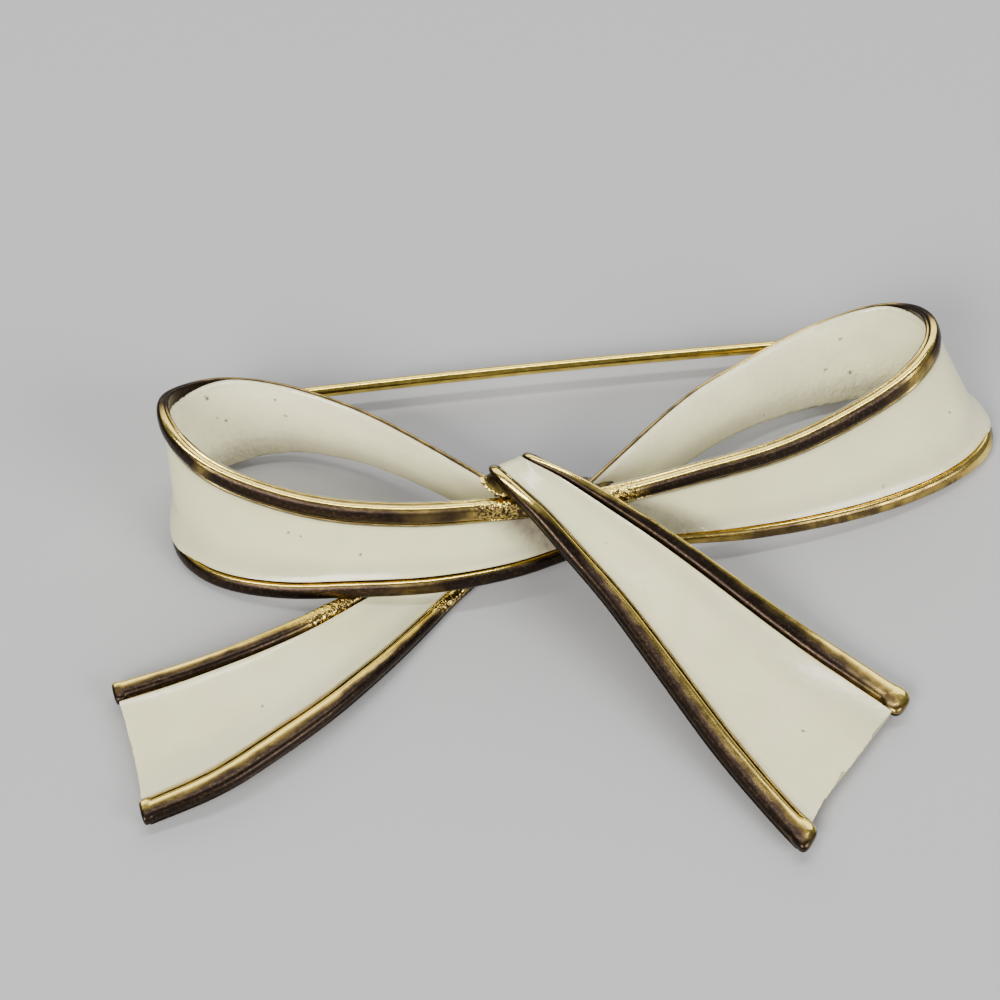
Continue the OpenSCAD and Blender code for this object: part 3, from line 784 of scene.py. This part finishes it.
def solder_seat(label, name, row):
    """Pad of solder between a back wall and the flat face that a plate lies on."""
    ribbon = RIBBONS[name]
    around = 72
    rings = 22
    angle = np.linspace(0, 2 * math.pi, around, endpoint=False)
    square = (np.abs(np.cos(angle)) ** 5 + np.abs(np.sin(angle)) ** 5) ** (-1 / 5)
    loop_u = np.cos(angle) * square
    loop_v = np.sin(angle) * square
    centre_x = PLAIN[name].middle(np.array([row]))[0, 0]
    face = np.stack([
        centre_x + loop_u * SEAT_W / 2,
        np.full(around, SEATS_Y),
        PIN_Z + loop_v * SEAT_H / 2,
    ], -1)
    step = ribbon.middle(np.array([row + 0.05])) - ribbon.middle(np.array([row - 0.05]))
    s = row + loop_u * SEAT_REACH * np.sign(step[0, 0])
    share = sum(SEAT_BAND) / 2 - loop_v * (SEAT_BAND[1] - SEAT_BAND[0]) / 2
    foot = ribbon.place(s, ribbon.width(s) * share, np.full(around, -0.12))
    t = np.linspace(0, 1, rings)[:, None, None]
    points = foot * (1 - t) + face * t
    middle = points.mean(1, keepdims=True)
    points = middle + (points - middle) * (1 - 0.1 * np.sin(math.pi * t))
    lumps = 0.035 * grain(points, 0.7, 2.0) + 0.015 * grain(points, 0.2, 6.0)
    points = points + unit(points - middle) * (lumps * (1 - t[..., 0] ** 6))[..., None]
    layers = {"tarnish_and_painted_light": np.full(points.shape[:2], 0.1), "grit": np.full(points.shape[:2], 0.3)}
    return new_piece(label, points, ring_faces(rings, around), smooth_angle=45, layers=layers)


def knot_core():
    """Solder that fills the middle of the knot."""
    low = PLAIN["left_tail"].at(0.0)[2] + CORE_R
    columns = []
    for k, (left_row, right_row, top) in enumerate(CORE):
        inwards = np.array([0, CORE_R + PLATE_T, 0]) if k == 0 else np.zeros(3)
        columns.append((PLAIN["left_loop"].middle(left_row) + inwards, LOOP_H * top))
        columns.append((PLAIN["right_loop"].middle(right_row) + inwards, LOOP_H * top))
    start = PLAIN["knot_tail"].middle(CORE_KNOT_ROW)
    columns.append((start, start[2]))
    hull = bmesh.new()
    for at, top in columns:
        for z in (low, top):
            for theta in np.linspace(0.05, math.pi - 0.05, 9):
                for phi in np.linspace(0, 2 * math.pi, 16, endpoint=False):
                    ray = (math.sin(theta) * math.cos(phi), math.sin(theta) * math.sin(phi), math.cos(theta))
                    hull.verts.new((at[0] + CORE_R * ray[0], at[1] + CORE_R * ray[1], z + CORE_R * ray[2]))
    result = bmesh.ops.convex_hull(hull, input=hull.verts)
    loose = {v for v in result["geom_interior"] + result["geom_unused"] if isinstance(v, bmesh.types.BMVert)}
    bmesh.ops.delete(hull, geom=list(loose), context="VERTS")
    coarse = bpy.data.meshes.new("core_hull")
    hull.to_mesh(coarse)
    hull.free()
    holder = bpy.data.objects.new("core_hull", coarse)
    bpy.context.scene.collection.objects.link(holder)
    remesh = holder.modifiers.new("even", "REMESH")
    remesh.mode = "VOXEL"
    remesh.voxel_size = 0.16
    evaluated = holder.evaluated_get(bpy.context.evaluated_depsgraph_get())
    even = bpy.data.meshes.new_from_object(evaluated)
    points = np.array([v.co for v in even.vertices])
    faces = [list(p.vertices) for p in even.polygons]
    bpy.data.objects.remove(holder)
    lumps = 0.06 * grain(points, 0.9, 3.0) + 0.04 * grain(points, 0.35, 6.0)
    points = points + unit(points - points.mean(0)) * lumps[:, None]
    layers = {"tarnish_and_painted_light": 0.25 + 0.25 * grain(points, 0.8, 8.0), "grit": np.full(len(points), 0.4)}
    return new_piece("knot_solder", points, faces, smooth_angle=70, layers=layers)


def solder_sheet():
    """Lumpy sheet of solder that slopes from the first rim of the knot's ribbon down to the loops."""
    ribbon = RIBBONS["knot_tail"]
    rings = 70
    down = 24
    s = np.linspace(*SHEET_ROWS, rings)[:, None]
    k = np.linspace(0, 1, down)
    first, _ = ribbon.halves(s)
    upper = ribbon.place(s, -first * 0.85, -0.1 + 0 * s)
    fade = np.sin(math.pi * np.linspace(0.06, 0.94, rings)) ** 0.4
    sheet = upper + np.array(SHEET_SHIFT) * (k * fade[:, None])[..., None]
    lumps = 0.09 * grain(sheet, 0.9, 2.0) + 0.04 * np.abs(grain(sheet, 0.3, 5.0))
    sheet = sheet + UP * (lumps - 0.12 * np.sin(math.pi * k))[..., None]
    under = sheet + np.array([0.3, 0.2, -0.6])
    points = np.concatenate([sheet, under[:, ::-1]], 1)
    layers = {"tarnish_and_painted_light": 0.2 * grain(points, 0.8, 6.0) - 0.38, "grit": np.full(points.shape[:2], 0.12)}
    faces = ring_faces(rings, 2 * down)
    return new_piece("solder_left", points, faces, smooth_angle=60, layers=layers)


def build_metal():
    made = [
        metal_ribbon("left_loop", web=8),
        metal_ribbon("right_loop", web=8),
        metal_ribbon("knot_tail", web=14, hollow=0.22),
        metal_ribbon("left_tail", web=14, hollow=0.12),
    ]
    made += [rim_tip(*tip) for tip in TIPS]
    made.append(solder_seat("hinge_seat", "left_loop", HINGE_ROW))
    made.append(solder_seat("catch_seat", "right_loop", CATCH_ROW))
    made += [knot_core(), solder_sheet()]
    for piece in made:
        piece.data.materials.append(GOLD)
    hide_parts("bow")


def build_coats():
    faces = [
        coat(name, f"{name}_face", straight(span), spilt_edges(name), spilt_over(name),
             spilt_under(name), loop_face_dirt_and_shadow(name))
        for name, span in (("left_loop", LEFT_FACE), ("right_loop", RIGHT_FACE))
    ]
    faces += [
        coat(name, f"{name}_face", broken(start, end), face_edges, dished, low_face,
             tail_stain, across_points=110)
        for name, start, end in (("left_tail", *LEFT_TAIL_FACE), ("knot_tail", *KNOT_FACE))
    ]
    insides = [
        coat(name, f"{name}_inside", straight(span), lining_edges(name), lining_over(name),
             lining_under(name), lining_stain_and_shade(name))
        for name, span in (("left_loop", LEFT_LINING), ("right_loop", RIGHT_LINING))
    ]
    nodes = ("left_loop_enamel", "right_loop_enamel", "left_tail_enamel", "knot_tail_enamel",
             "left_loop_lining", "right_loop_lining")
    for piece, node in zip(faces + insides, nodes):
        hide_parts(node)
        piece.data.materials.append(PAINTED_LIGHT_LINING if piece in insides else ENAMEL)


def pin_wire(hinge, catch_x):
    """The pin's wire in a slight arc, with a long point."""
    half_span = (catch_x - hinge[0]) / 2
    radius = (half_span**2 + STEM_BOW**2) / (2 * STEM_BOW)
    centre = hinge + (half_span, STEM_BOW - radius, 0)
    x_from = hinge[0] + RIVET_R + EYE_FIT + SHEET_T / 2
    x_point = catch_x + CATCH_W / 2 + TIP_L - POINT_L
    x = np.concatenate([np.linspace(x_from, x_point, 160), x_point + np.linspace(0, POINT_L, 26)[1:]])
    y = centre[1] + np.sqrt(radius**2 - (np.minimum(x, x_point) - centre[0]) ** 2)
    slope = -(x_point - centre[0]) / math.sqrt(radius**2 - (x_point - centre[0]) ** 2)
    y = y + np.maximum(x - x_point, 0) * slope
    taper = np.clip((x - x_point) / POINT_L, 0, 1)
    thick = WIRE_R * (1 - 0.9 * taper**1.25)
    around = 40
    angle = np.linspace(0, 2 * math.pi, around, endpoint=False)
    points = np.stack([
        x[:, None] + 0 * angle,
        y[:, None] + thick[:, None] * np.cos(angle),
        hinge[2] + thick[:, None] * np.sin(angle),
    ], -1)
    layers = {"tarnish_and_painted_light": 0.06 * grain(points, 3.0, 2.0)}
    return new_piece("pin_wire", points, ring_faces(len(x), around), body=PIN, layers=layers)


def pin_eye(hinge):
    """The pin's eye round the rivet, with rounded corners."""
    hole = RIVET_R + EYE_FIT
    outer = hole + SHEET_T
    height = WIRE_R * 2.2
    soft = 0.12
    chamfer = 0.05
    corner = [(soft * (1 - math.cos(a)), soft * (1 - math.sin(a))) for a in np.linspace(0, math.pi / 2, 5)]
    upper = [(outer - q[1], height / 2 - q[0]) for q in corner[::-1]]
    bore = [
        (hole + chamfer, -height / 2),
        (hole, chamfer - height / 2),
        (hole, height / 2 - chamfer),
        (hole + chamfer, height / 2),
    ]
    section = np.array(upper + [(r, -z) for r, z in upper[::-1]] + bore)
    turns = np.linspace(0, 2 * math.pi, 64, endpoint=False)[:, None]
    ring = np.stack([
        hinge[0] + section[:, 0] * np.cos(turns),
        hinge[1] + section[:, 0] * np.sin(turns),
        hinge[2] + section[:, 1] + 0 * turns,
    ], -1)
    count = len(turns) * len(section)
    faces = [[i % count for i in face] for face in ring_faces(len(turns) + 1, len(section))[:-2]]
    return new_piece("pin_eye", ring, faces, body=PIN, smooth_angle=35)


class Graph:
    """Short calls for building a material's nodes."""

    def __init__(self, name):
        self.material = bpy.data.materials.new(name)
        self.material.use_nodes = True
        self.nodes = self.material.node_tree.nodes
        self.links = self.material.node_tree.links
        self.shader = self.nodes["Principled BSDF"]
        self.places = self.nodes.new("ShaderNodeTexCoord").outputs["Object"]

    def put(self, socket, value):
        if isinstance(value, bpy.types.NodeSocket):
            self.links.new(value, socket)
        else:
            socket.default_value = value

    def attribute(self, name):
        node = self.nodes.new("ShaderNodeAttribute")
        node.attribute_name = name
        return node.outputs["Fac"]

    def noise(self, size, detail=3.0):
        """Noise with lumps of a size in metres."""
        node = self.nodes.new("ShaderNodeTexNoise")
        node.inputs["Scale"].default_value = 1 / size
        node.inputs["Detail"].default_value = detail
        self.links.new(self.places, node.inputs["Vector"])
        return node.outputs["Fac"]

    def math(self, operation, a, b=0.0, clamp=False):
        node = self.nodes.new("ShaderNodeMath")
        node.operation = operation
        node.use_clamp = clamp
        self.put(node.inputs[0], a)
        self.put(node.inputs[1], b)
        return node.outputs[0]

    def span(self, value, low, high, to_low=0.0, to_high=1.0):
        """Value mapped from one range to another, smoothly and clamped."""
        node = self.nodes.new("ShaderNodeMapRange")
        node.interpolation_type = "SMOOTHSTEP"
        self.put(node.inputs["Value"], value)
        for key, number in (("From Min", low), ("From Max", high), ("To Min", to_low), ("To Max", to_high)):
            node.inputs[key].default_value = number
        return node.outputs["Result"]

    def ramp(self, value, stops):
        node = self.nodes.new("ShaderNodeValToRGB")
        self.put(node.inputs["Fac"], value)
        elements = node.color_ramp.elements
        while len(elements) < len(stops):
            elements.new(0.5)
        for element, (place, color) in zip(elements, stops):
            element.position = place
            element.color = (*color, 1)
        return node.outputs["Color"]

    def mix(self, factor, first, second):
        node = self.nodes.new("ShaderNodeMix")
        node.data_type = "RGBA"
        sockets = [s for s in node.inputs if s.type == "RGBA"]
        self.put(node.inputs["Factor"], factor)
        for socket, color in zip(sockets, (first, second)):
            self.put(socket, color if isinstance(color, bpy.types.NodeSocket) else (*color, 1))
        return [s for s in node.outputs if s.type == "RGBA"][0]

    def bump(self, height, distance, strength=1.0, normal=None):
        node = self.nodes.new("ShaderNodeBump")
        node.inputs["Strength"].default_value = strength
        node.inputs["Distance"].default_value = distance
        self.put(node.inputs["Height"], height)
        if normal:
            self.links.new(normal, node.inputs["Normal"])
        return node.outputs["Normal"]


def gold_material(name, shade, bright):
    """Gold-tone plating: bright on the side that looks in the painted light's direction, a painted highlight,
    and dark brown and finely grained elsewhere, tarnish with painted shade and painted reflection. The shade
    tells how dark that gets."""
    g = Graph(name)
    # Metal that looks away from that direction turns dark: painted shade and painted reflection of dark
    # surroundings
    painted_shade_away = g.span(g.attribute("faces_painted_light"), 0.95, 0.71)
    dark = g.math("ADD", g.math("MULTIPLY", painted_shade_away, shade), g.attribute("tarnish_and_painted_light"))
    dark = g.math("ADD", dark, g.span(g.noise(0.0016, 4), 0.35, 0.75, -0.14, 0.16))
    grains = g.span(g.noise(0.0002, 2), 0.42, 0.62, -0.45, 0.35)
    dark = g.math("ADD", dark, g.math("MULTIPLY", g.attribute("grit"), grains), clamp=True)
    color = g.ramp(dark, [
        (0.0, bright),
        (0.34, (0.55, 0.385, 0.095)),
        (0.60, (0.135, 0.092, 0.036)),
        (0.88, (0.027, 0.018, 0.014)),
    ])
    speckle = g.span(g.noise(0.0002, 2), 0.5, 0.72, 0.0, 0.09)
    color = g.mix(g.math("MULTIPLY", speckle, dark), color, (0.42, 0.30, 0.10))
    g.put(g.shader.inputs["Base Color"], color)
    g.shader.inputs["Metallic"].default_value = 1.0
    uneven = g.span(g.noise(0.0005, 3), 0.3, 0.7, -0.03, 0.05)
    rough = g.math("ADD", g.span(dark, 0.0, 1.0, 0.14, 0.34), uneven)
    g.put(g.shader.inputs["Roughness"], rough)
    fine = g.bump(g.noise(0.00013, 3), 0.00001, 0.35)
    grit = g.math("MULTIPLY", g.noise(0.00022, 2), g.attribute("grit"))
    g.put(g.shader.inputs["Normal"], g.bump(grit, 0.00012, 0.9, fine))
    return g.material


def enamel_material(name, tint):
    """Cream enamel: satin gloss, faint mottling, dirt and painted shade along the rims, a painted shaded band
    towards the second rim, stains partly painted shade, and pits.
    """
    g = Graph(name)
    base = g.mix(g.span(g.noise(0.003, 4), 0.3, 0.7), tuple(0.93 * c for c in tint), tint)
    base = g.mix(g.span(g.noise(0.0055, 3), 0.45, 0.75, 0.0, 0.35), base, (0.80, 0.70, 0.53))
    across = g.attribute("across")
    edge = g.math("MINIMUM", across, g.math("SUBTRACT", 1.0, across))
    # Darker next to the rims: dirt with painted shade in the crease
    broad_dirt_and_shade = g.span(edge, 0.085, 0.0, 0.0, 0.28)
    thin_dirt_and_shade = g.span(edge, 0.016, 0.002, 0.0, 0.55)
    patchy = g.span(g.noise(0.0009, 4), 0.3, 0.7, 0.45, 1.0)
    # A darker band towards the second rim: painted shade
    lower_band_painted_shade = g.math("MULTIPLY", g.span(across, 0.55, 0.88), g.span(across, 0.97, 0.91, 0.0, 0.3))
    base = g.mix(lower_band_painted_shade, base, (0.36, 0.33, 0.27))
    base = g.mix(g.math("MULTIPLY", g.math("MAXIMUM", broad_dirt_and_shade, thin_dirt_and_shade), patchy), base, (0.24, 0.19, 0.13))
    patches = g.span(g.noise(0.0011, 4), 0.25, 0.75, 0.85, 1.05)
    # Stains on the enamel, with painted shadow beside the knot and painted shade low on the lining
    stain_and_shade = g.math("MULTIPLY", g.attribute("stain_and_shade"), patches, clamp=True)
    base = g.mix(stain_and_shade, base, (0.165, 0.13, 0.09))
    base = g.mix(g.attribute("pit"), base, (0.07, 0.05, 0.035))
    dots = g.span(g.noise(0.0008, 1), 0.79, 0.83, 0.0, 0.6)
    base = g.mix(dots, base, (0.30, 0.24, 0.17))
    g.put(g.shader.inputs["Base Color"], base)
    g.put(g.shader.inputs["Roughness"], g.span(g.noise(0.0012, 4), 0.3, 0.7, 0.12, 0.20))
    g.shader.inputs["IOR"].default_value = 1.5
    fine = g.bump(g.noise(0.0003, 3), 0.00001, 0.25)
    broad_bump = g.bump(g.noise(0.0022, 2), 0.00006, 0.22, fine)
    pebbles = g.math("MULTIPLY", g.noise(0.00055, 2), g.attribute("pebble"))
    g.put(g.shader.inputs["Normal"], g.bump(pebbles, 0.0004, 0.9, broad_bump))
    return g.material


def plain_material(name, color, roughness):
    material = bpy.data.materials.new(name)
    material.use_nodes = True
    shader = material.node_tree.nodes["Principled BSDF"]
    shader.inputs["Base Color"].default_value = (*color, 1)
    shader.inputs["Roughness"].default_value = roughness
    return material


def area_light(name, at, size, power, color=(1, 1, 1)):
    """Rectangular light at a place in metres, turned to the brooch."""
    data = bpy.data.lights.new(name, "AREA")
    data.shape = "RECTANGLE"
    data.size, data.size_y = size
    data.energy = power
    data.color = color
    lamp = bpy.data.objects.new(name, data)
    bpy.context.scene.collection.objects.link(lamp)
    lamp.location = at
    lamp.rotation_euler = (-Vector(at)).to_track_quat("-Z", "Y").to_euler()


PLAIN = make_ribbons(0)
SEATS = (("left_loop", HINGE_ROW), ("right_loop", CATCH_ROW))
SEATS_Y = SEAT_T + max(seat_patch(*seat)[..., 1].max() for seat in SEATS)
PIN_Z = (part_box("pin_stem")[0][2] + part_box("pin_stem")[1][2]) / 2 / MM + ORIGIN[2]

# The pin and its findings get less of the painted shade than the ribbons
GOLD = gold_material("gold_tone", 1.0, (0.97, 0.74, 0.19))
GOLD_WIRE = gold_material("gold_wire_tone", 0.20, (0.95, 0.72, 0.14))
ENAMEL = enamel_material("cream_enamel", (0.77, 0.75, 0.435))
# A brighter copy of the cream enamel for the loops' linings: painted light on the inner walls
PAINTED_LIGHT_LINING = enamel_material("lining_enamel", (0.95, 0.92, 0.60))
build_metal()
build_coats()
hinge_at = np.array([PLAIN["left_loop"].middle(HINGE_ROW)[0], SEATS_Y + PIN_STANDOFF, PIN_Z])
stem = [pin_wire(hinge_at, PLAIN["right_loop"].middle(CATCH_ROW)[0]), pin_eye(hinge_at)]
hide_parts("pin_stem")
for piece in stem:
    piece.data.materials.append(GOLD_WIRE)
for name in ("hinge_bracket", "hinge_rivet", "catch"):
    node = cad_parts[name]
    node.data.materials.clear()
    node.data.materials.append(GOLD_WIRE)

# Camera at the photograph's angle, fitted to the outline: a long lens aimed at a point seen from the knot
camera_back = np.array([
    math.sin(CAMERA_AZIMUTH) * math.cos(CAMERA_ELEVATION),
    -math.cos(CAMERA_AZIMUTH) * math.cos(CAMERA_ELEVATION),
    math.sin(CAMERA_ELEVATION),
])
camera_data = bpy.data.cameras.new("camera")
camera_data.lens = 100
camera_data.sensor_width = 36
camera_data.clip_start = 0.01
camera = bpy.data.objects.new("camera", camera_data)
bpy.context.scene.collection.objects.link(camera)
camera.location = (CAMERA_AIM + CAMERA_DISTANCE * camera_back - ORIGIN) * MM
camera.rotation_euler = Vector(-camera_back).to_track_quat("-Z", "Y").to_euler()
bpy.context.scene.camera = camera

floor_mesh = bpy.data.meshes.new("floor")
corners = [(-FLOOR, -FLOOR, 0), (FLOOR, -FLOOR, 0), (FLOOR, FLOOR, 0), (-FLOOR, FLOOR, 0)]
floor_mesh.from_pydata(corners, [], [(0, 1, 2, 3)])
floor = bpy.data.objects.new("floor", floor_mesh)
bpy.context.scene.collection.objects.link(floor)
floor_mesh.materials.append(plain_material("pale_floor", (0.40, 0.40, 0.405), 0.7))

area_light("top_strip", (-0.01, 0.13, 0.57), (0.54, 0.07), 1.9)
area_light("back_panel", (0.06, 0.54, 0.40), (0.95, 0.42), 2.9)
area_light("front_left", (-0.36, -0.50, 0.42), (0.4, 0.3), 8.2, (1.0, 0.98, 0.94))
area_light("front_right", (0.45, -0.42, 0.32), (0.35, 0.3), 4.0)
world = bpy.data.worlds.new("studio")
world.use_nodes = True
world.node_tree.nodes["Background"].inputs["Color"].default_value = (0.55, 0.56, 0.58, 1)
world.node_tree.nodes["Background"].inputs["Strength"].default_value = 0.30
bpy.context.scene.world = world
